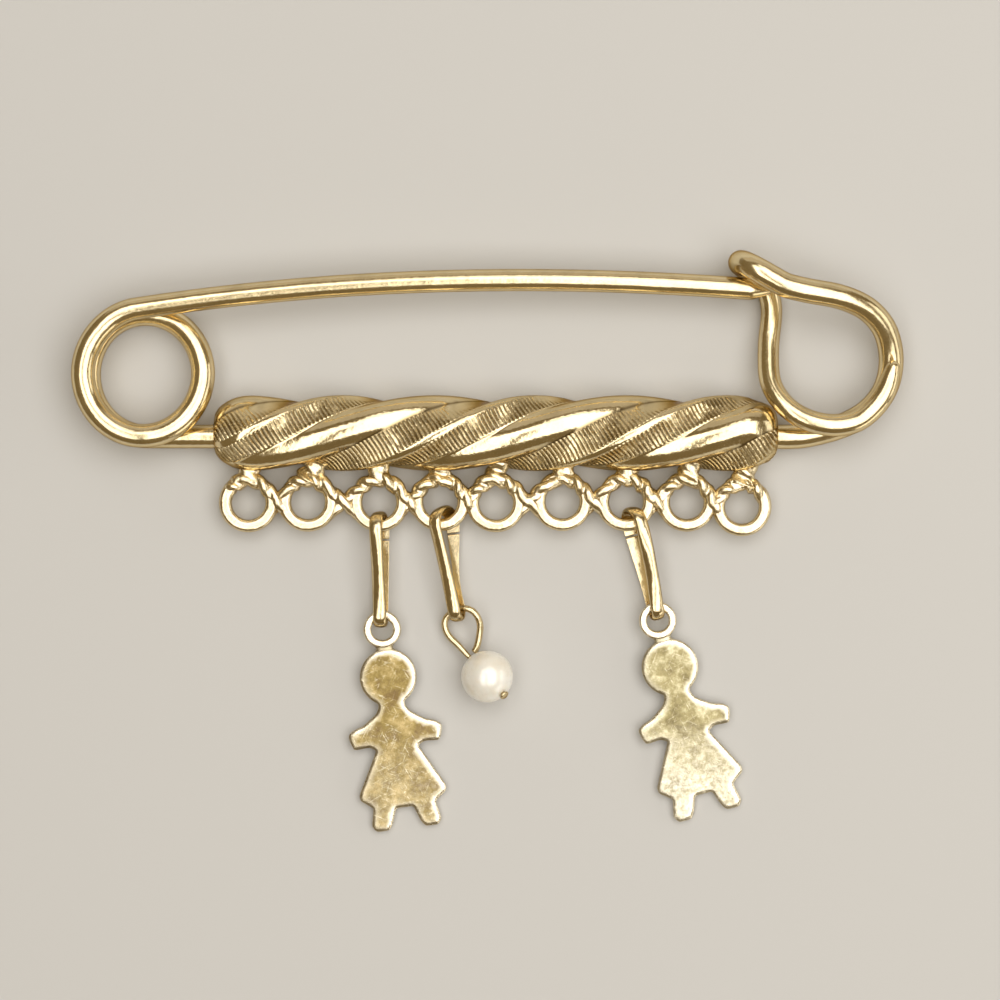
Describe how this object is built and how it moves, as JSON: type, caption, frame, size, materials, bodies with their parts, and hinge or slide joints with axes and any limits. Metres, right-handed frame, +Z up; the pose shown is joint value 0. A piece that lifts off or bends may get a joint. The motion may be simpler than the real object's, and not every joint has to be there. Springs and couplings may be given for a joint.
{
  "type": "safety pin brooch",
  "caption": "Kilt-pin brooch: a coiled wire pin with a twisted bar, a row of rings, and girl charms and a pearl drop on long bails.",
  "frame": {"origin": "under the middle of the brooch's box, on the surface that it lies on", "axes": "+X along the pin towards the clasp, +Y from the drops to the pin arm, +Z up to the front"},
  "size_m": [0.0634, 0.0445, 0.0055],
  "materials": {
    "polished_wire": "polished pale gold plate on spring wire",
    "cast_gold": "polished and engraved pale gold plate on a casting",
    "polished_strip": "polished pale gold plate",
    "satin_gold": "satin, lightly scratched pale gold plate",
    "pearl_coat": "ivory pearl coat"
  },
  "bodies": {
    "brooch": {"frame_wire": "polished_wire", "charm_bar": "cast_gold", "hook_left": "polished_strip", "hook_middle": "polished_strip", "hook_right": "polished_strip", "girl_left": "satin_gold", "girl_right": "satin_gold", "pearl": "pearl_coat", "pearl_wire": "polished_strip"},
    "arm": {"pin_arm": "polished_wire"}
  },
  "joints": [
    {"name": "pin_open", "type": "hinge", "parent": "brooch", "child": "arm", "pos_m": [-0.02701, 0.01778, 0.0036], "axis": [0, -0.7071, -0.7071], "range_deg": [0, 30], "stiffness_Nm_per_rad": 0.01, "springref_deg": -5.73}
  ]
}
